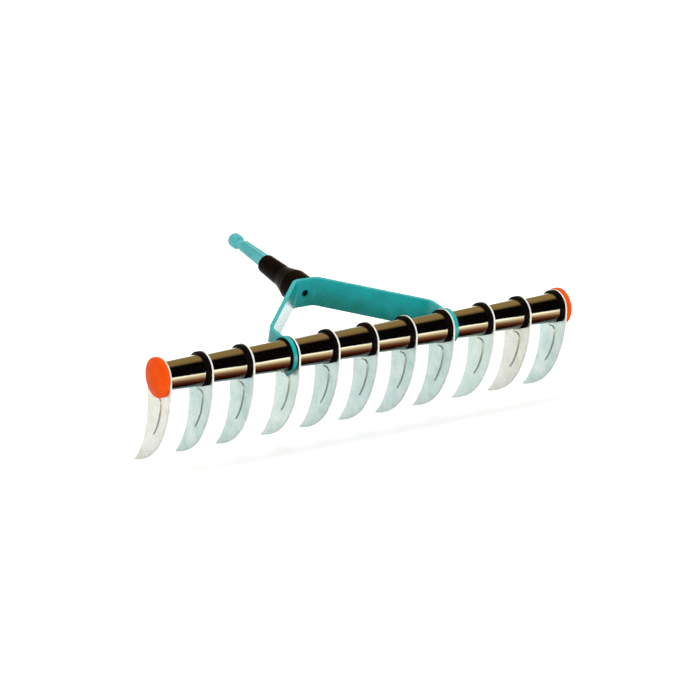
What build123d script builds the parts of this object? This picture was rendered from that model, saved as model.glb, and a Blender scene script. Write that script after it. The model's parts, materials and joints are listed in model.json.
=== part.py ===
from build123d import *
from math import cos, radians, sin
import os

# Thatch rake head in millimetres: sickle blades and spacers on one square bar, carried by a
# bent steel bracket with a click-in handle spigot.
# +X runs along the bar, +Y points to the user and +Z is up, with the blades hanging down.
# The origin is the middle of the land on the handle spigot's knob.

# The row of blades
blade_count = 11
blade_thickness = 1.5
spacer_length = 32.6
# The bracket's eyes stand in the row just outside these two blades, counted from the left. A thin
# washer keeps the left eye off its blade.
left_eye_blade = 4
right_eye_blade = 8
eye_washer_thickness = 1.5

# The square bar that everything is threaded on
bar_square = 10.0
bar_corner = 0.6
bar_clearance = 0.15
bar_end_gap = 0.5

# Blade outline, seen along the bar: reaches run to the user, depths run down from the bar axis
blade_head_radius = 13.4
blade_back_reach = 17.4
tip_reach = 39.2
tip_depth = 69.1
belly_run = 38.7
belly_rise = 23.5
nape_run = 6.0
nape_rise = 5.8
throat_reach = 18.2
throat_depth = 22.6

# Stiffening bead pressed into each blade
bead_height = 0.9
bead_draft = 38.0
bead_top = 14.6
bead_front = 1.8
bead_back = 9.2
bead_end_run = 27.0
bead_end_rise = 22.5
bead_front_bow = 3.6
bead_back_bow = 1.0
bead_corner = 4.2
bead_end_corner = 1.2

# Spacer: a tapered barrel with one flange, flat at its underside, against the blade on its right
spacer_small_radius = 10.2
spacer_large_radius = 11.2
flange_radius = 13.3
flange_thickness = 3.0
flange_flare = 1.0
lip_radius = 12.8
lip_thickness = 0.8
flange_flat = 11.5
flange_flat_tilt = 18.0
spacer_bore_clearance = 0.2

# Bar end fastening: washer, button head screw and snap-on domed cap
end_washer_radius = 10.0
end_washer_thickness = 1.5
end_screw_radius = 3.0
end_screw_length = 14.0
end_screw_head_radius = 5.25
end_screw_head_height = 3.1
end_screw_head_rim = 0.9
end_screw_head_land = 2.6
end_screw_socket = 4.0
end_screw_socket_depth = 1.9
thread_clearance = 0.05
tapped_hole_spare = 2.0
cap_radius = 14.4
cap_rim = 3.5
cap_dome = 3.6
cap_clearance = 0.1
cap_gap = 0.3

# Bracket: one flat strip bent in five places, with an eye at each end
handle_tilt = 13.0
strip_width = 22.4
strip_thickness = 3.0
bend_radius = 8.0
foot_length = 21.1
bight_half = 8.9
bight_reach = 83.1
eye_radius = 13.7
eye_flat = 11.9
tail_depth = 14.8
tail_half = 3.0
tail_point = 2.0
tail_reach = -3.6

# Countersunk socket screw through the bight
handle_screw_radius = 4.0
handle_screw_length = 21.0
handle_screw_head_radius = 7.0
handle_screw_head_height = 2.4
handle_screw_socket = 5.0
handle_screw_socket_depth = 2.8
handle_screw_clearance = 0.15

# Handle spigot, turned from one bar. Its foot stands on the back of the bight and its knob lies at
# a reach from the bar axis, with the neck and the end of the shank set back from the knob.
spigot_foot_radius = 10.4
spigot_foot_thickness = 4.6
hub_radius = 7.4
hub_length = 21.4
body_radius = 5.7
body_length = 20.0
shank_root_radius = 5.2
shank_end_radius = 4.2
neck_radius = 3.2
neck_length = 4.6
neck_taper_length = 1.5
knob_radius = 5.7
knob_reach = 180.6
knob_land = 4.0
knob_neck_round = 2.4
knob_end_round = 3.2
rib_width = 4.4
rib_height = 6.4
rib_end_height = 5.0
rib_end_gap = 1.0
rib_root_height = 5.2
rib_root_length = 2.0

# Moulded boot over the spigot's foot: each length starts where the last one ends
boot_radius = 12.1
boot_base_length = 12.5
boot_shoulder_radius = 10.0
boot_shoulder_length = 8.0
boot_waist_radius = 8.4
boot_waist_length = 6.0
collar_root_radius = 8.4
collar_root_length = 2.5
collar_end_radius = 7.5
collar_length = 22.5
boot_clearance = 0.1

# Reference directions and planes
handle_direction = Vector(0, cos(radians(handle_tilt)), sin(radians(handle_tilt)))
strip_normal = Vector(0, -sin(radians(handle_tilt)), cos(radians(handle_tilt)))
bar_centre = handle_direction * -knob_reach
handle_axis = Axis(tuple(bar_centre), tuple(handle_direction))
bracket_plane = Plane(origin=bar_centre, x_dir=(1, 0, 0), z_dir=strip_normal)
rib_plane = Plane(origin=bar_centre, x_dir=handle_direction, z_dir=(1, 0, 0))


def across_bar(x):
    """Plane square to the bar at x: its own x runs to the user and its y runs up."""
    return Plane(origin=bar_centre + Vector(x, 0, 0), x_dir=(0, 1, 0), z_dir=(1, 0, 0))


def along_bar(x):
    """Plane through the bar axis: its own x runs along the bar from x and its y runs up."""
    return Plane(origin=bar_centre + Vector(x, 0, 0), x_dir=(1, 0, 0), z_dir=(0, -1, 0))


def bar_axis():
    """The axis of the square bar."""
    return Axis(tuple(bar_centre), (1, 0, 0))


# Where each blade stands: its left face, measured first from the left face of the first blade
blade_left = []
stack_end = 0
for number in range(1, blade_count + 1):
    if number == left_eye_blade:
        stack_end += strip_thickness + eye_washer_thickness
    if number == right_eye_blade + 1:
        stack_end += strip_thickness
    blade_left.append(stack_end)
    stack_end += blade_thickness + spacer_length
row_length = blade_left[-1] + blade_thickness
blade_left = [x - row_length / 2 for x in blade_left]
eye_washer_left = blade_left[left_eye_blade - 1] - eye_washer_thickness
eye_left = {
    -1: eye_washer_left - strip_thickness,
    1: blade_left[right_eye_blade - 1] + blade_thickness,
}
# The strip's inner face, the side that looks at the middle of the rake
eye_inner = {-1: eye_left[-1] + strip_thickness, 1: eye_left[1]}

parts = {}


def keep(part, name):
    """Label a finished piece and write it under that name."""
    part.label = name
    parts[name] = part
    export_step(part, f"parts/{name}.step")


def cut_flat(left, length, radius, depth):
    """Cuts a round part of the row flat at this depth under the bar axis, from this x on."""
    with BuildSketch(across_bar(left)) as below:
        with Locations(Rotation(0, 0, -flange_flat_tilt)):
            with Locations((0, -depth - radius / 2)):
                Rectangle(2 * radius, radius)
    extrude(below.sketch, amount=length, mode=Mode.SUBTRACT)


def cut_bar_hole(left, length, clearance):
    """Cuts the square hole for the bar, wider than the bar by this clearance on every side."""
    with BuildSketch(across_bar(left)) as hole:
        Rectangle(bar_square + 2 * clearance, bar_square + 2 * clearance)
    extrude(hole.sketch, amount=length, mode=Mode.SUBTRACT)


def make_blade(left):
    """Sickle blade with its left face at this x, its tip curled to the user."""
    crown = (0, blade_head_radius)
    head_back = (blade_back_reach, blade_head_radius - blade_back_reach)
    tip = (tip_reach, -tip_depth)
    belly = (tip_reach - belly_run, belly_rise - tip_depth)
    nape = (tip_reach - nape_run, nape_rise - tip_depth)
    throat = (throat_reach, -throat_depth)
    bead_end = (tip_reach - bead_end_run, bead_end_rise - tip_depth)
    with BuildPart() as blade:
        with BuildSketch(across_bar(left)):
            with BuildLine():
                TangentArc(crown, head_back, tangent=(1, 0))
                head = TangentArc(crown, (-blade_head_radius, 0), tangent=(-1, 0))
                front = TangentArc((-blade_head_radius, 0), belly, tangent=head % 1)
                TangentArc(belly, tip, tangent=front % 1)
                back = Line(head_back, throat)
                lower_back = TangentArc(throat, nape, tangent=back % 1)
                TangentArc(nape, tip, tangent=lower_back % 1)
            make_face()
        extrude(amount=blade_thickness)
        # The bead stands out of the left face and is sunk in the right one.
        for bead_face, bead_mode in ((left, Mode.ADD), (left + blade_thickness, Mode.SUBTRACT)):
            with BuildSketch(across_bar(bead_face)):
                with BuildLine():
                    top_front = (-bead_front, -bead_top)
                    top_back = (bead_back, -bead_top)
                    Line(top_back, top_front)
                    SagittaArc(top_front, bead_end, -bead_front_bow)
                    SagittaArc(bead_end, top_back, bead_back_bow)
                make_face()
                fillet(vertices().sort_by(Axis.Y)[1:], radius=bead_corner)
                fillet(vertices().sort_by(Axis.Y)[0], radius=bead_end_corner)
            extrude(amount=-bead_height, taper=bead_draft, mode=bead_mode)
        cut_bar_hole(left, blade_thickness, bar_clearance)
    return blade.part


def make_spacer(left, end_radius, end_thickness):
    """Barrel to the right of this x, ending in a flange of this radius and thickness."""
    flange_face = spacer_length - end_thickness
    flare_start = flange_face - flange_flare
    with BuildPart() as spacer:
        with BuildSketch(along_bar(left)):
            with BuildLine():
                Polyline(
                    (0, 0),
                    (0, spacer_small_radius),
                    (flare_start, spacer_large_radius),
                    (flange_face, spacer_large_radius + flange_flare),
                    (flange_face, end_radius),
                    (spacer_length, end_radius),
                    (spacer_length, 0),
                    close=True,
                )
            make_face()
        revolve(axis=bar_axis())
        cut_flat(left + flare_start, spacer_length - flare_start, end_radius, flange_flat)
        cut_bar_hole(left, spacer_length, spacer_bore_clearance)
    return spacer.part


os.makedirs("parts", exist_ok=True)

# Blades
for number, left in enumerate(blade_left, start=1):
    keep(make_blade(left), f"blade_{number:02d}")

# Spacers, each from the right face of its blade. The one that meets the left eye has only a thin lip.
for number in range(1, blade_count):
    left = blade_left[number - 1] + blade_thickness
    if number == right_eye_blade:
        left += strip_thickness
    if number == left_eye_blade - 1:
        spacer = make_spacer(left, lip_radius, lip_thickness)
    else:
        spacer = make_spacer(left, flange_radius, flange_thickness)
    keep(spacer, f"spacer_{number:02d}")

# Washer between the left eye and its blade
with BuildPart() as eye_washer:
    with BuildSketch(across_bar(eye_washer_left)):
        Circle(flange_radius)
    extrude(amount=eye_washer_thickness)
    cut_flat(eye_washer_left, eye_washer_thickness, flange_radius, flange_flat)
    cut_bar_hole(eye_washer_left, eye_washer_thickness, spacer_bore_clearance)
keep(eye_washer.part, "eye_washer")

# Square bar with a tapped hole in each end
bar_length = row_length - 2 * bar_end_gap
with BuildPart() as square_bar:
    with BuildSketch(across_bar(-bar_length / 2)):
        RectangleRounded(bar_square, bar_square, bar_corner)
    extrude(amount=bar_length)
    hole_depth = end_screw_length + tapped_hole_spare
    for end in (-1, 1):
        with BuildSketch(across_bar(end * bar_length / 2)):
            Circle(end_screw_radius + thread_clearance)
        extrude(amount=-end * hole_depth, mode=Mode.SUBTRACT)
keep(square_bar.part, "square_bar")

# End washers, screws and caps: each is drawn outwards from the outer face of the last blade
for side, word in ((-1, "left"), (1, "right")):
    outer_face = side * row_length / 2
    outwards = Plane(
        origin=bar_centre + Vector(outer_face, 0, 0), x_dir=(side, 0, 0), z_dir=(0, -side, 0)
    )

    with BuildPart() as end_washer:
        with BuildSketch(across_bar(outer_face)):
            Circle(end_washer_radius)
            Circle(end_screw_radius + bar_clearance, mode=Mode.SUBTRACT)
        extrude(amount=side * end_washer_thickness)
    keep(end_washer.part, f"end_washer_{word}")

    seat = end_washer_thickness
    crown = seat + end_screw_head_height
    with BuildPart() as end_screw:
        with BuildSketch(outwards):
            with BuildLine():
                Polyline(
                    (crown, 0),
                    (seat - end_screw_length, 0),
                    (seat - end_screw_length, end_screw_radius),
                    (seat, end_screw_radius),
                    (seat, end_screw_head_radius),
                    (seat + end_screw_head_rim, end_screw_head_radius),
                    (crown, end_screw_head_land),
                    close=True,
                )
            make_face()
        revolve(axis=bar_axis())
        with BuildSketch(across_bar(outer_face + side * crown)):
            RegularPolygon(end_screw_socket / 2, 6, major_radius=False)
        extrude(amount=-side * end_screw_socket_depth, mode=Mode.SUBTRACT)
    keep(end_screw.part, f"end_screw_{word}")

    # Domed cap: its socket grips the washer's rim and clears the screw's head.
    with BuildPart() as end_cap:
        apex = cap_rim + cap_dome
        dome_radius = (cap_radius**2 + cap_dome**2) / (2 * cap_dome)
        socket_radius = end_washer_radius + cap_clearance
        with BuildSketch(outwards):
            with BuildLine():
                Polyline((0, socket_radius), (0, cap_radius), (cap_rim, cap_radius))
                RadiusArc((cap_rim, cap_radius), (apex, 0), dome_radius)
                Polyline(
                    (apex, 0),
                    (crown + cap_gap, 0),
                    (crown + cap_gap, end_screw_head_radius + cap_gap),
                    (seat + cap_gap, socket_radius),
                    (0, socket_radius),
                )
            make_face()
        revolve(axis=bar_axis())
    keep(end_cap.part, f"end_cap_{word}")

# Bracket: the strip's inner face is drawn in the plane of the handle, then thickened outwards
with BuildPart() as bracket:
    with BuildSketch(bracket_plane):
        with BuildLine():
            FilletPolyline(
                (eye_inner[-1], 0),
                (eye_inner[-1], foot_length),
                (-bight_half, bight_reach),
                (bight_half, bight_reach),
                (eye_inner[1], foot_length),
                (eye_inner[1], 0),
                radius=bend_radius,
            )
            offset(amount=strip_thickness, side=Side.LEFT)
        make_face()
    extrude(amount=strip_width / 2, both=True)
    # Each eye is a disc cut flat at its underside, with a pointed tail below the flat.
    for side in (-1, 1):
        with BuildSketch(across_bar(eye_left[side])):
            Circle(eye_radius)
        extrude(amount=strip_thickness)
        cut_flat(eye_left[side], strip_thickness, eye_radius, eye_flat)
        with BuildSketch(across_bar(eye_left[side])):
            with BuildLine():
                Polyline(
                    (tail_reach - tail_half, 0),
                    (tail_reach - tail_half, tail_point - tail_depth),
                    (tail_reach, -tail_depth),
                    (tail_reach + tail_half, tail_point - tail_depth),
                    (tail_reach + tail_half, 0),
                    close=True,
                )
            make_face()
        extrude(amount=strip_thickness)
        cut_bar_hole(eye_left[side], strip_thickness, bar_clearance)
    with BuildSketch(bracket_plane):
        hole_radius = handle_screw_radius + handle_screw_clearance
        sink_radius = handle_screw_head_radius + handle_screw_clearance
        with BuildLine():
            Polyline(
                (0, bight_reach),
                (sink_radius, bight_reach),
                (hole_radius, bight_reach + handle_screw_head_height),
                (hole_radius, bight_reach + strip_thickness),
                (0, bight_reach + strip_thickness),
                close=True,
            )
        make_face()
    revolve(axis=handle_axis, mode=Mode.SUBTRACT)
keep(bracket.part, "bracket")

# Countersunk screw, flush with the bight and threaded into the spigot
with BuildPart() as handle_screw:
    screw_end = bight_reach + handle_screw_length
    with BuildSketch(bracket_plane):
        with BuildLine():
            Polyline(
                (0, bight_reach),
                (handle_screw_head_radius, bight_reach),
                (handle_screw_radius, bight_reach + handle_screw_head_height),
                (handle_screw_radius, screw_end),
                (0, screw_end),
                close=True,
            )
        make_face()
    revolve(axis=handle_axis)
    with BuildSketch(Plane(origin=bar_centre + handle_direction * bight_reach, z_dir=handle_direction)):
        RegularPolygon(handle_screw_socket / 2, 6, major_radius=False)
    extrude(amount=handle_screw_socket_depth, mode=Mode.SUBTRACT)
keep(handle_screw.part, "handle_screw")

# Spigot: foot, hub, body, tapered shank, neck and knob, with a latch rib along the top
bight_back = bight_reach + strip_thickness
foot_end = bight_back + spigot_foot_thickness
hub_end = bight_back + hub_length
body_end = hub_end + body_length
knob_start = knob_reach - knob_land / 2 - knob_neck_round
knob_end = knob_reach + knob_land / 2 + knob_end_round
neck_start = knob_start - neck_length
shank_end = neck_start - neck_taper_length
base_end = bight_back + boot_base_length
shoulder_end = base_end + boot_shoulder_length
waist_end = shoulder_end + boot_waist_length
collar_start = waist_end + collar_root_length
collar_end = collar_start + collar_length
rib_start = body_end - rib_root_length
rib_end = shank_end - rib_end_gap
with BuildPart() as spigot:
    with BuildSketch(bracket_plane):
        tapped_radius = handle_screw_radius + thread_clearance
        tapped_end = bight_reach + handle_screw_length + tapped_hole_spare
        with BuildLine():
            Polyline(
                (tapped_radius, bight_back),
                (spigot_foot_radius, bight_back),
                (spigot_foot_radius, foot_end),
                (hub_radius, foot_end),
                (hub_radius, hub_end),
                (body_radius, hub_end),
                (body_radius, body_end),
                (shank_root_radius, body_end),
                (shank_end_radius, shank_end),
                (neck_radius, neck_start),
                (neck_radius, knob_start),
                (knob_radius - knob_neck_round, knob_start),
            )
            RadiusArc(
                (knob_radius - knob_neck_round, knob_start),
                (knob_radius, knob_start + knob_neck_round),
                -knob_neck_round,
            )
            Line((knob_radius, knob_start + knob_neck_round), (knob_radius, knob_end - knob_end_round))
            RadiusArc(
                (knob_radius, knob_end - knob_end_round),
                (knob_radius - knob_end_round, knob_end),
                -knob_end_round,
            )
            Polyline(
                (knob_radius - knob_end_round, knob_end),
                (0, knob_end),
                (0, tapped_end),
                (tapped_radius, tapped_end),
                (tapped_radius, bight_back),
            )
        make_face()
    revolve(axis=handle_axis)
    with BuildSketch(rib_plane):
        with BuildLine():
            Polyline(
                (rib_start, 0),
                (rib_start, rib_root_height),
                (collar_end + boot_clearance, rib_root_height),
                (collar_end + boot_clearance, rib_height),
                (rib_end, rib_end_height),
                (rib_end, 0),
                close=True,
            )
        make_face()
    extrude(amount=rib_width / 2, both=True)
keep(spigot.part, "handle_spigot")

# Boot: a flared base over the foot, a waist and a collar, open at its far end
with BuildPart() as boot:
    with BuildSketch(bracket_plane):
        foot_bore = spigot_foot_radius + boot_clearance
        hub_bore = hub_radius + boot_clearance
        body_bore = body_radius + boot_clearance
        with BuildLine():
            Polyline(
                (foot_bore, bight_back),
                (boot_radius, bight_back),
                (boot_radius, base_end),
                (boot_shoulder_radius, shoulder_end),
                (boot_waist_radius, waist_end),
                (collar_root_radius, collar_start),
                (collar_end_radius, collar_end),
                (body_bore, collar_end),
                (body_bore, hub_end + boot_clearance),
                (hub_bore, hub_end + boot_clearance),
                (hub_bore, foot_end + boot_clearance),
                (foot_bore, foot_end + boot_clearance),
                close=True,
            )
        make_face()
    revolve(axis=handle_axis)
keep(boot.part, "handle_boot")

print(len(parts), "pieces; row of blades", round(row_length, 2), "mm")
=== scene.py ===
import json
from math import cos, pi, radians, sin

import bmesh
import bpy
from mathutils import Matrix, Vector


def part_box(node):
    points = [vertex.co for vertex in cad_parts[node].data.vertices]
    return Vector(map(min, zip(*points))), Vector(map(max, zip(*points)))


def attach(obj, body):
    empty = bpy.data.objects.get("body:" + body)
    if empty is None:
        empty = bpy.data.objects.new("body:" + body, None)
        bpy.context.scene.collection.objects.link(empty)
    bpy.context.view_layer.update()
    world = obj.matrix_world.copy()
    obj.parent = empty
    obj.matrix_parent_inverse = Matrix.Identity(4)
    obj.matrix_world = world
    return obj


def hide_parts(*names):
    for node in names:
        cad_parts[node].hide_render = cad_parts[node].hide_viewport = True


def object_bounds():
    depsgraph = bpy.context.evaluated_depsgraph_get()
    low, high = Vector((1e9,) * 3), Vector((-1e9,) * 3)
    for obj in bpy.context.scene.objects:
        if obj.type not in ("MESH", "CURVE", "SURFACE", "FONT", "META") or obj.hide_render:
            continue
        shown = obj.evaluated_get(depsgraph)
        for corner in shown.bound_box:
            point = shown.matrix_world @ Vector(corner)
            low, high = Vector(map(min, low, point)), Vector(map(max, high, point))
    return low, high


# Looks for a thatch rake head. Lengths are in metres unless a name says otherwise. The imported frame
# has its origin in the handle spigot's knob, +X along the bar, +Y to the user and +Z up.
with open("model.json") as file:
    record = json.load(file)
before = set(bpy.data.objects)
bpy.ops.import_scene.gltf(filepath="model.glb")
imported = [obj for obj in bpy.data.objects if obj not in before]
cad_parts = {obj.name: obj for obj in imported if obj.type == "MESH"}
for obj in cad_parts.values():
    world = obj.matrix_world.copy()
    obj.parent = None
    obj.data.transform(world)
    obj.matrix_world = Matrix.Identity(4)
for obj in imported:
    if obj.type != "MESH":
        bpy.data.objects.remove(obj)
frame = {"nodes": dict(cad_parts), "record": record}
CAD_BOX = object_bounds()
MM = 0.001
BLACK = (0.0, 0.0, 0.0)
WHITE = (1.0, 1.0, 1.0)

# The photograph's camera, found by fitting the blades, the bar and the knob
CAMERA_AZIMUTH = radians(-34.601)
CAMERA_ELEVATION = radians(14.938)
CAMERA_DISTANCE = 2121.0 * MM
CAMERA_TARGET = Vector((0, 30, -10)) * MM
CAMERA_LENS = 148.546
CAMERA_SENSOR = 36
CAMERA_NEAR = 0.05
CAMERA_FAR = 50
PHOTO_SIZE = 700
# Pixels by which the photograph's optical centre lies left of and above the middle of the picture
CENTRE_LEFT = 6.16
CENTRE_UP = 5.15

# The handle axis stands this far above level
HANDLE_TILT = radians(13.0)
HANDLE_AXIS = Vector((0, cos(HANDLE_TILT), sin(HANDLE_TILT)))


def middle(node):
    """Centre of a node's box."""
    low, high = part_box(node)
    return (low + high) / 2


BAR = middle("square_bar")
FLOOR_HEIGHT = CAD_BOX[0].z


def aim_camera():
    """Puts the camera where the photograph was taken from, looking along its own optical axis."""
    data = bpy.data.cameras.new("photo_camera")
    data.sensor_width = CAMERA_SENSOR
    data.lens = CAMERA_LENS
    data.shift_x = CENTRE_LEFT / PHOTO_SIZE
    data.shift_y = -CENTRE_UP / PHOTO_SIZE
    data.clip_start = CAMERA_NEAR
    data.clip_end = CAMERA_FAR
    camera = bpy.data.objects.new("photo_camera", data)
    bpy.context.scene.collection.objects.link(camera)
    back = Vector((
        sin(CAMERA_AZIMUTH) * cos(CAMERA_ELEVATION),
        -cos(CAMERA_AZIMUTH) * cos(CAMERA_ELEVATION),
        sin(CAMERA_ELEVATION),
    ))
    camera.location = BAR + CAMERA_TARGET + back * CAMERA_DISTANCE
    camera.rotation_euler = (-back).to_track_quat("-Z", "Y").to_euler()
    bpy.context.scene.camera = camera


aim_camera()

# Node helpers

# Noise keeps to this range over nearly all of a surface
LOW, MIDDLE, HIGH = 0.3, 0.5, 0.7
NOISE_ROUGHNESS = 0.55
ALL_WAYS = (1, 1, 1)


class Graph:
    """A node tree under construction, with short calls for the nodes that are shared here. Where an
    input is named, underscores stand for spaces, and it takes a socket to link or a value to hold."""

    def __init__(self, tree):
        self.nodes = tree.nodes
        self.links = tree.links

    def put(self, socket, value):
        if isinstance(value, bpy.types.NodeSocket):
            self.links.new(value, socket)
        else:
            socket.default_value = (*value, 1) if socket.type == "RGBA" else value

    def fill(self, node, **inputs):
        for name, value in inputs.items():
            self.put(node.inputs[name.replace("_", " ")], value)

    def add(self, kind, **inputs):
        """A new node with its named inputs filled."""
        node = self.nodes.new("ShaderNode" + kind)
        self.fill(node, **inputs)
        return node

    def combine(self, kind, *values):
        """The output of a new node that takes these values in the order of its inputs."""
        node = self.add(kind)
        for socket, value in zip(node.inputs, values):
            self.put(socket, value)
        return node.outputs[0]

    def math(self, operation, *values):
        node = self.add("Math")
        node.operation = operation
        for socket, value in zip(node.inputs, values):
            self.put(socket, value)
        return node.outputs["Value"]

    def ramp(self, value, *stops):
        """Colour or grey along a value: stops are (position, colour or number)."""
        node = self.add("ValToRGB", Fac=value)
        elements = node.color_ramp.elements
        while len(elements) < len(stops):
            elements.new(0.5)
        for element, (position, tone) in zip(elements, stops):
            element.position = position
            element.color = (*tone, 1) if isinstance(tone, tuple) else (tone, tone, tone, 1)
        return node.outputs["Color"]

    def tones(self, value, deep, pale, start=LOW, end=HIGH):
        """Goes from one colour or number to another while the value goes from start to end."""
        return self.ramp(value, (start, deep), (end, pale))

    def axes(self, vector):
        """The outputs X, Y and Z of a split vector."""
        return self.add("SeparateXYZ", Vector=vector).outputs


class Look(Graph):
    """A material under construction. Noise and relief are sized in millimetres."""

    def __init__(self, name):
        self.material = bpy.data.materials.new(name)
        self.material.use_nodes = True
        super().__init__(self.material.node_tree)
        self.shader = self.nodes["Principled BSDF"]
        self.place = self.add("TexCoord").outputs["Object"]
        self.normal = None

    def set(self, **inputs):
        self.fill(self.shader, **inputs)

    def noise(self, size_mm, detail, stretch=ALL_WAYS):
        """Noise value with features of about this size, stretched along the axes."""
        scale = tuple(1 / (size_mm * MM * along) for along in stretch)
        place = self.add("Mapping", Vector=self.place, Scale=scale).outputs["Vector"]
        node = self.add("TexNoise", Vector=place, Scale=1.0, Detail=detail, Roughness=NOISE_ROUGHNESS)
        return node.outputs["Fac"]

    def darkened(self, colour, value, least, start, end):
        """The colour times a share that goes from the least to 1 while the value goes from start to
        end."""
        node = self.add("Mix")
        node.data_type = "RGBA"
        node.blend_type = "MULTIPLY"
        sockets = [socket for socket in node.inputs if socket.enabled]
        for socket, given in zip(sockets, (1.0, colour, self.tones(value, least, 1.0, start, end))):
            self.put(socket, given)
        return [socket for socket in node.outputs if socket.enabled][0]

    def relief(self, height, depth_mm, strength):
        """A bump on top of those that the look already has."""
        node = self.add("Bump", Height=height, Distance=depth_mm * MM, Strength=strength)
        if self.normal:
            self.fill(node, Normal=self.normal)
        self.normal = node.outputs["Normal"]
        self.set(Normal=self.normal)


def blade_look(name, deep, middle_tone, pale):
    """Pale zinc on pressed sheet: soft cloudy sheen, fine grain down the blade and faint flecks."""
    look = Look(name)
    clouds = look.noise(size_mm=11, detail=3)
    flecks = look.noise(size_mm=1.3, detail=2)
    grain = look.noise(size_mm=0.35, detail=2, stretch=(1, 1, 14))
    colour = look.ramp(clouds, (LOW, deep), (MIDDLE, middle_tone), (HIGH, pale))
    colour = look.darkened(colour, grain, least=0.94, start=0.25, end=0.6)
    colour = look.darkened(colour, flecks, least=0.90, start=0.35, end=0.55)
    look.set(Metallic=0.7, Base_Color=colour, Roughness=look.tones(clouds, 0.42, 0.34))
    look.relief(grain, depth_mm=0.02, strength=0.25)
    look.relief(flecks, depth_mm=0.04, strength=0.2)
    return look.material


def cut_edge_look():
    """The blades' sheared edge: pale, matt zinc with fine drag lines across the sheet."""
    look = Look("blade_steel_edge")
    drag = look.noise(size_mm=0.3, detail=2, stretch=(4, 1, 1))
    patches = look.noise(size_mm=5, detail=2)
    look.set(
        Metallic=0.1,
        Specular_IOR_Level=0.3,
        Base_Color=look.tones(patches, deep=(0.80, 0.84, 0.80), pale=(0.90, 0.92, 0.89)),
        Roughness=look.tones(drag, 0.6, 0.45),
    )
    look.relief(drag, depth_mm=0.02, strength=0.3)
    return look.material


def socket_shade_look():
    """The inside of the handle screw's socket: painted shade, dark over the enamel, with a fine crust.
    """
    look = Look("socket_painted_shade")
    crust = look.noise(size_mm=0.7, detail=3)
    look.set(
        Specular_IOR_Level=0.1,
        Base_Color=look.tones(crust, deep=(0.002, 0.012, 0.014), pale=(0.006, 0.035, 0.040)),
        Roughness=look.tones(crust, 0.8, 0.6),
    )
    look.relief(crust, depth_mm=0.05, strength=0.4)
    return look.material


def barrel_look():
    """Glossy black moulded plastic, slightly warm, with faint waves from the mould and fine scuffs."""
    look = Look("spacer_plastic")
    scuffs = look.noise(size_mm=0.8, detail=3, stretch=(6, 1, 1))
    waves = look.noise(size_mm=5, detail=2, stretch=(2, 1, 1))
    look.set(
        IOR=2.1,
        Coat_Weight=1.0,
        Coat_Roughness=0.05,
        Coat_IOR=2.1,
        Base_Color=look.tones(waves, deep=(0.0012, 0.0008, 0.0005), pale=(0.003, 0.0018, 0.001)),
        Roughness=look.tones(scuffs, 0.07, 0.16, start=0.35, end=0.75),
    )
    look.relief(waves, depth_mm=0.04, strength=0.2)
    look.relief(scuffs, depth_mm=0.01, strength=0.12)
    return look.material


def flange_look():
    """The same plastic where its surface is dull: flanges and the eye washer."""
    look = Look("spacer_plastic_dull")
    grain = look.noise(size_mm=0.4, detail=2)
    patches = look.noise(size_mm=4, detail=2)
    look.set(
        IOR=1.35,
        Specular_IOR_Level=0.04,
        Base_Color=look.tones(patches, deep=(0.002, 0.0012, 0.001), pale=(0.006, 0.004, 0.003)),
        Roughness=look.tones(grain, 0.36, 0.28),
    )
    look.relief(grain, depth_mm=0.015, strength=0.25)
    return look.material


def zinc_look():
    """Bright zinc plate with fine mottling."""
    look = Look("zinc_steel")
    mottle = look.noise(size_mm=1.5, detail=4)
    look.set(
        Metallic=1.0,
        Base_Color=look.tones(mottle, deep=(0.52, 0.53, 0.55), pale=(0.72, 0.73, 0.74)),
        Roughness=look.tones(mottle, 0.34, 0.22),
    )
    look.relief(mottle, depth_mm=0.02, strength=0.3)
    return look.material


def cap_look():
    """Orange moulded plastic, satin, with fine mould grain and a slightly deeper tone in patches."""
    look = Look("cap_plastic")
    patches = look.noise(size_mm=7, detail=2)
    grain = look.noise(size_mm=0.3, detail=2)
    look.set(
        IOR=1.45,
        Specular_IOR_Level=0.07,
        Base_Color=look.tones(patches, deep=(0.86, 0.07, 0.003), pale=(0.96, 0.105, 0.004)),
        Roughness=look.tones(grain, 0.42, 0.5),
    )
    look.relief(grain, depth_mm=0.015, strength=0.3)
    return look.material


# How much of the bracket's tone is painted light from above and painted shade below, and how much
# rougher its speckle is
PAINTED_LIGHT_SHARE = 0.45
SPECKLE_ROUGHER = 0.08


def enamel_look(name, deep, pale, rough, painted_light_height_mm=None):
    """Enamel over steel: cloudy tone, fine dark speckle and orange peel. Where a height is given,
    the coat is painted paler from that far above the handle axis and deeper to as far below it:
    painted light from above and painted shade below."""
    look = Look(name)
    clouds = look.noise(size_mm=12, detail=3)
    speckle = look.noise(size_mm=0.9, detail=3)
    peel = look.noise(size_mm=0.7, detail=1)
    tone = clouds
    if painted_light_height_mm:
        # Painted light and shade: paler above the handle axis, deeper below it
        place = look.axes(look.place)
        above_axis = look.math(
            "SUBTRACT",
            look.math("MULTIPLY", place["Z"], HANDLE_AXIS.y),
            look.math("MULTIPLY", place["Y"], HANDLE_AXIS.z),
        )
        painted_light = look.math("ADD", look.math("DIVIDE", above_axis, 2 * painted_light_height_mm * MM), 0.5)
        tone = look.math(
            "ADD", look.math("MULTIPLY", painted_light, PAINTED_LIGHT_SHARE), look.math("MULTIPLY", clouds, 1 - PAINTED_LIGHT_SHARE)
        )
    colour = look.tones(tone, deep, pale, start=0.28, end=0.72)
    look.set(
        IOR=1.5,
        Base_Color=look.darkened(colour, speckle, least=0.8, start=LOW, end=0.6),
        Roughness=look.tones(speckle, rough + SPECKLE_ROUGHER, rough),
    )
    look.relief(peel, depth_mm=0.03, strength=0.3)
    look.relief(clouds, depth_mm=0.2, strength=0.2)
    return look.material


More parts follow.
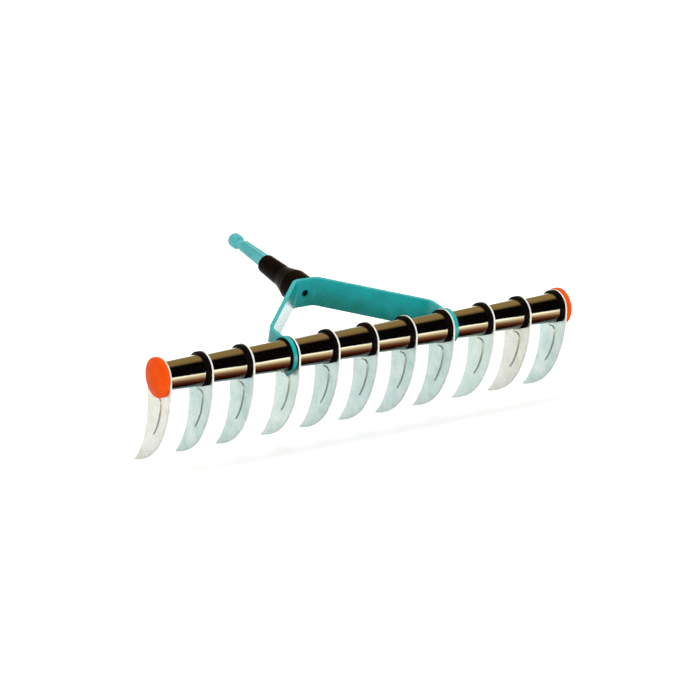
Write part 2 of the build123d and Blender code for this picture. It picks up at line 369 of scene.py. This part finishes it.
def boot_look():
    """Near black moulded plastic with fine grain and a faint dusty bloom in patches."""
    look = Look("boot_plastic")
    grain = look.noise(size_mm=0.45, detail=2)
    bloom = look.noise(size_mm=7, detail=3)
    deep, pale = (0.0015, 0.0011, 0.001), (0.006, 0.0035, 0.0025)
    look.set(
        IOR=1.4,
        Specular_IOR_Level=0.03,
        Base_Color=look.tones(bloom, deep, pale, start=0.35, end=0.75),
        Roughness=look.tones(grain, 0.34, 0.24),
    )
    look.relief(grain, depth_mm=0.03, strength=0.35)
    look.relief(bloom, depth_mm=0.15, strength=0.2)
    return look.material


looks = {
    "blade_steel": blade_look(
        "blade_steel",
        deep=(0.60, 0.80, 0.77), middle_tone=(0.70, 0.87, 0.84), pale=(0.80, 0.92, 0.88),
    ),
    "spacer_plastic": barrel_look(),
    "zinc_steel": zinc_look(),
    "cap_plastic": cap_look(),
    # The bracket's enamel has painted light on its upper side and painted shade on its lower side
    "teal_enamel": enamel_look(
        "teal_enamel", deep=(0.001, 0.21, 0.18), pale=(0.008, 0.45, 0.46), rough=0.24, painted_light_height_mm=11
    ),
    "spigot_enamel": enamel_look(
        "spigot_enamel", deep=(0.04, 0.40, 0.41), pale=(0.14, 0.62, 0.64), rough=0.34
    ),
    "boot_plastic": boot_look(),
}
# Enamel is paler on its rounded edges
paler_edge_looks = {
    "teal_enamel": enamel_look(
        "teal_enamel_edge", deep=(0.04, 0.46, 0.46), pale=(0.09, 0.58, 0.57), rough=0.3
    ),
    "spigot_enamel": enamel_look(
        "spigot_enamel_edge", deep=(0.18, 0.58, 0.58), pale=(0.3, 0.68, 0.68), rough=0.36
    ),
}
dull_plastic = flange_look()
cut_edge = cut_edge_look()
socket_painted_shade = socket_shade_look()
# Zinc differs in tone from blade to blade
cream_zinc = blade_look(
    "blade_steel_cream",
    deep=(0.84, 0.86, 0.76), middle_tone=(0.90, 0.91, 0.83), pale=(0.94, 0.94, 0.88),
)
bright_zinc = blade_look(
    "blade_steel_bright",
    deep=(0.70, 0.90, 0.82), middle_tone=(0.78, 0.94, 0.87), pale=(0.86, 0.96, 0.91),
)
BLADE_TONES = {
    "blade_01": cream_zinc,
    "blade_10": cream_zinc,
    "blade_04": bright_zinc,
    "blade_09": bright_zinc,
}
slots = {part["node"]: part["material_slot"] for part in frame["record"]["subparts"]}

# How far each kind of piece is rounded along its edges
EDGE_ROUNDING_MM = {
    "blade_steel": 0.35,
    "spacer_plastic": 0.35,
    "zinc_steel": 0.2,
    "cap_plastic": 0.6,
    "teal_enamel": 0.9,
    "spigot_enamel": 0.5,
    "boot_plastic": 0.8,
}
SCREW_ROUNDING_MM = 0.12
ROUNDING_SEGMENTS = 3
# Edges that turn by more than this are sharp. Triangles that turn by less than this lie in one plane.
SHARP = radians(28)
FLAT = radians(0.6)
WELD = 0.002 * MM
# A blade's face is part of its sheared edge where its normal has less than this along the bar
EDGE_NORMAL = 0.5
# The barrels' radius with a margin: what stands further out is flange
BARREL_RADIUS = 11.3 * MM
# The handle screw's socket with a margin round its corners
SOCKET_RADIUS = 2.95 * MM


def second_material(node_name, mesh):
    """A node's other material and the faces that have it, or nothing."""
    slot = slots[node_name]
    if slot == "blade_steel":
        return cut_edge, [face for face in mesh.polygons if abs(face.normal.x) < EDGE_NORMAL]
    if slot == "spacer_plastic":
        wide = {v.index for v in mesh.vertices if (v.co - BAR).yz.length > BARREL_RADIUS}
        return dull_plastic, [face for face in mesh.polygons if wide.intersection(face.vertices)]
    # The faces inside the screw's socket get painted shade
    if node_name == "handle_screw":
        inside = {v.index for v in mesh.vertices if v.co.cross(HANDLE_AXIS).length < SOCKET_RADIUS}
        return socket_painted_shade, [face for face in mesh.polygons if inside.issuperset(face.vertices)]
    return None


def clean(mesh):
    """Joins the vertices that lie together and the triangles that lie in one plane."""
    work = bmesh.new()
    work.from_mesh(mesh)
    bmesh.ops.remove_doubles(work, verts=work.verts, dist=WELD)
    bmesh.ops.dissolve_limit(work, angle_limit=FLAT, verts=work.verts, edges=work.edges)
    work.to_mesh(mesh)
    work.free()


def show_rounded(node_name):
    """Shows a node by a copy of its own mesh with rounded edges."""
    slot = slots[node_name]
    mesh = frame["nodes"][node_name].data.copy()
    mesh.name = node_name + "_rounded"
    clean(mesh)
    mesh.materials.clear()
    mesh.materials.append(BLADE_TONES.get(node_name, looks[slot]))
    piece = bpy.data.objects.new(mesh.name, mesh)
    bpy.context.scene.collection.objects.link(piece)
    rounding_mm = SCREW_ROUNDING_MM if node_name == "handle_screw" else EDGE_ROUNDING_MM[slot]
    bevel = piece.modifiers.new("edges", "BEVEL")
    bevel.width = rounding_mm * MM
    bevel.segments = ROUNDING_SEGMENTS
    bevel.limit_method = "ANGLE"
    bevel.angle_limit = SHARP
    bevel.harden_normals = True
    other = second_material(node_name, mesh)
    if other:
        material, faces = other
        mesh.materials.append(material)
        for face in faces:
            face.material_index = 1
    elif slot in paler_edge_looks:
        mesh.materials.append(paler_edge_looks[slot])
        bevel.material = 1
    for face in mesh.polygons:
        face.use_smooth = True
    mesh.set_sharp_from_angle(angle=SHARP)
    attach(piece, "root")
    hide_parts(node_name)


for name in frame["nodes"]:
    show_rounded(name)

# The floor. Distances on it are from the bar.
FLOOR_HALF = 6.0
FLOOR_TONE = (0.86, 0.86, 0.86)
FLOOR_ROUGHNESS = 0.9
# In reflections the floor glows as a painted reflection of a lit table that ends this far in front of
# the bar.
# Its colours are set along the square root of the share of the way to that edge, darkest next to the
# bar as painted shadow of the object.
TABLE_FRONT = 0.96
TABLE_BANDS = (
    (0.10, BLACK), (0.20, (0.030, 0.004, 0.001)), (0.30, (0.12, 0.05, 0.02)),
    (0.43, (0.50, 0.40, 0.23)), (0.66, (0.88, 0.84, 0.60)), (0.90, (0.86, 0.86, 0.70)),
)
FRONT_GLOW = 5.5
# Behind the bar the floor glows white in reflections, and brighter far behind on the right: painted
# reflections. Each pair is where that light begins and where it is full, and each reach is a length
# just past its pair.
BEHIND_GLOW = 1.08
BEHIND = (0.0, 0.06)
BEHIND_REACH = 0.1
FAR_BEHIND_GLOW = 1.6
FAR_BEHIND = (0.18, 0.21)
FAR_BEHIND_REACH = 0.25
RIGHT = (0.02, 0.09)
RIGHT_REACH = 0.1
# Light added in the camera's view, so that the shadow is faint. Each is (distance, strength).
SHADOW_FILL = (0.25, 0.4)
FAR_FILL = (1.0, 0.8)


def distance_share(look, distance, limits, reach):
    """Goes from 0 to 1 while the distance goes from one limit to the other."""
    start, end = (limit / reach for limit in limits)
    return look.tones(look.math("DIVIDE", distance, reach), 0.0, 1.0, start, end)


def table_glow(look, ahead):
    """The floor's painted glow in reflections in front of the bar, and none past the table's edge."""
    share = look.math("DIVIDE", ahead, TABLE_FRONT)
    along = look.math("POWER", look.math("MAXIMUM", share, 0.0), 0.5)
    on_table = look.math(
        "MULTIPLY", look.math("LESS_THAN", share, 1.0), look.math("GREATER_THAN", share, 0.0)
    )
    strength = look.math("MULTIPLY", on_table, FRONT_GLOW)
    return look.combine("Emission", look.ramp(along, *TABLE_BANDS), strength)


def behind_glow(look, ahead, right):
    """The floor's painted glow in reflections behind the bar."""
    behind = look.math("MULTIPLY", ahead, -1.0)
    near_share = distance_share(look, behind, BEHIND, BEHIND_REACH)
    far_share = distance_share(look, behind, FAR_BEHIND, FAR_BEHIND_REACH)
    right_share = distance_share(look, right, RIGHT, RIGHT_REACH)
    extra = look.math("MULTIPLY", look.math("MULTIPLY", far_share, right_share), FAR_BEHIND_GLOW)
    strength = look.math("MULTIPLY", near_share, look.math("ADD", extra, BEHIND_GLOW))
    return look.combine("Emission", WHITE, strength)


def shadow_fill(look, ahead, right):
    """The light that is added to the floor in the camera's view."""
    squares = look.math("ADD", look.math("POWER", ahead, 2.0), look.math("POWER", right, 2.0))
    strength = look.ramp(look.math("POWER", squares, 0.5), SHADOW_FILL, FAR_FILL)
    return look.combine("Emission", WHITE, strength)


def floor_look():
    """Plain and pale. To the camera it is white but for the object's shadow. In reflections it glows
    as
    painted light: dark next to the bar as painted shadow, warm and then bright towards the table's
    front edge, dark past that edge, and white behind the bar."""
    look = Look("floor")
    look.set(Base_Color=FLOOR_TONE, Roughness=FLOOR_ROUGHNESS, Specular_IOR_Level=0.0)
    place = look.axes(look.place)
    ahead = look.math("SUBTRACT", BAR.y, place["Y"])
    right = place["X"]
    plain = look.shader.outputs[0]
    seen = look.combine("AddShader", plain, shadow_fill(look, ahead, right))
    mirrored = look.combine("AddShader", table_glow(look, ahead), behind_glow(look, ahead, right))
    rays = look.add("LightPath").outputs
    surface = look.combine("MixShader", rays["Is Camera Ray"], plain, seen)
    surface = look.combine("MixShader", rays["Is Glossy Ray"], surface, mirrored)
    look.fill(look.nodes["Material Output"], Surface=surface)
    return look.material


def make_floor():
    mesh = bpy.data.meshes.new("floor")
    corners = [
        (x * FLOOR_HALF, y * FLOOR_HALF, FLOOR_HEIGHT) for x, y in ((-1, -1), (1, -1), (1, 1), (-1, 1))
    ]
    mesh.from_pydata(corners, [], [(0, 1, 2, 3)])
    mesh.materials.append(floor_look())
    floor = bpy.data.objects.new("floor", mesh)
    bpy.context.scene.collection.objects.link(floor)


make_floor()

# The surroundings' strengths: as light on the object, to the camera, and in reflections
WORLD_LIGHT = 0.5
WORLD_WHITE = 1.0
WORLD_MIRRORED = 1.6
# Their colours in reflections, from the horizon in front (0) over the top (0.5) to behind (1)
SKY_BANDS = (
    (0.0, BLACK), (0.42, BLACK), (0.52, (0.50, 0.32, 0.11)),
    (0.70, (0.46, 0.31, 0.10)), (0.84, (0.30, 0.20, 0.06)), (0.95, (0.9, 0.85, 0.75)),
)


def make_world():
    """White to the camera and plain soft light on the object. In reflections it is dark in front, warm
    and dim overhead, and white low behind."""
    world = bpy.data.worlds.new("studio")
    bpy.context.scene.world = world
    world.use_nodes = True
    graph = Graph(world.node_tree)
    plain = graph.nodes["Background"]
    graph.fill(plain, Color=WHITE, Strength=WORLD_LIGHT)
    white = graph.combine("Background", WHITE, WORLD_WHITE)
    direction = graph.axes(graph.add("TexCoord").outputs["Generated"])
    forward = graph.math("MULTIPLY", direction["Y"], -1.0)
    turn = graph.math("DIVIDE", graph.math("ARCTAN2", direction["Z"], forward), pi)
    mirrored = graph.combine("Background", graph.ramp(turn, *SKY_BANDS), WORLD_MIRRORED)
    rays = graph.add("LightPath").outputs
    surface = graph.combine("MixShader", rays["Is Glossy Ray"], plain.outputs[0], mirrored)
    surface = graph.combine("MixShader", rays["Is Camera Ray"], surface, white)
    surface = graph.combine("MixShader", rays["Is Transmission Ray"], surface, white)
    graph.fill(graph.nodes["World Output"], Surface=surface)


make_world()


def add_lamp(name, place, size, watts):
    """Soft square lamp aimed at the bar, kept out of the reflections. Its place is from the bar."""
    data = bpy.data.lights.new(name, "AREA")
    data.size = size
    data.energy = watts
    lamp = bpy.data.objects.new(name, data)
    bpy.context.scene.collection.objects.link(lamp)
    lamp.location = BAR + Vector(place)
    lamp.rotation_euler = (-Vector(place)).to_track_quat("-Z", "Y").to_euler()
    lamp.visible_glossy = False
    lamp.visible_camera = False


add_lamp("key_lamp", place=(-0.4, -1.7, 0.7), size=0.7, watts=14)
add_lamp("side_lamp", place=(-1.7, 0.7, 0.9), size=0.6, watts=5)
add_lamp("top_lamp", place=(0.1, 0.3, 1.9), size=0.8, watts=16)

bpy.context.scene.view_settings.view_transform = "Standard"
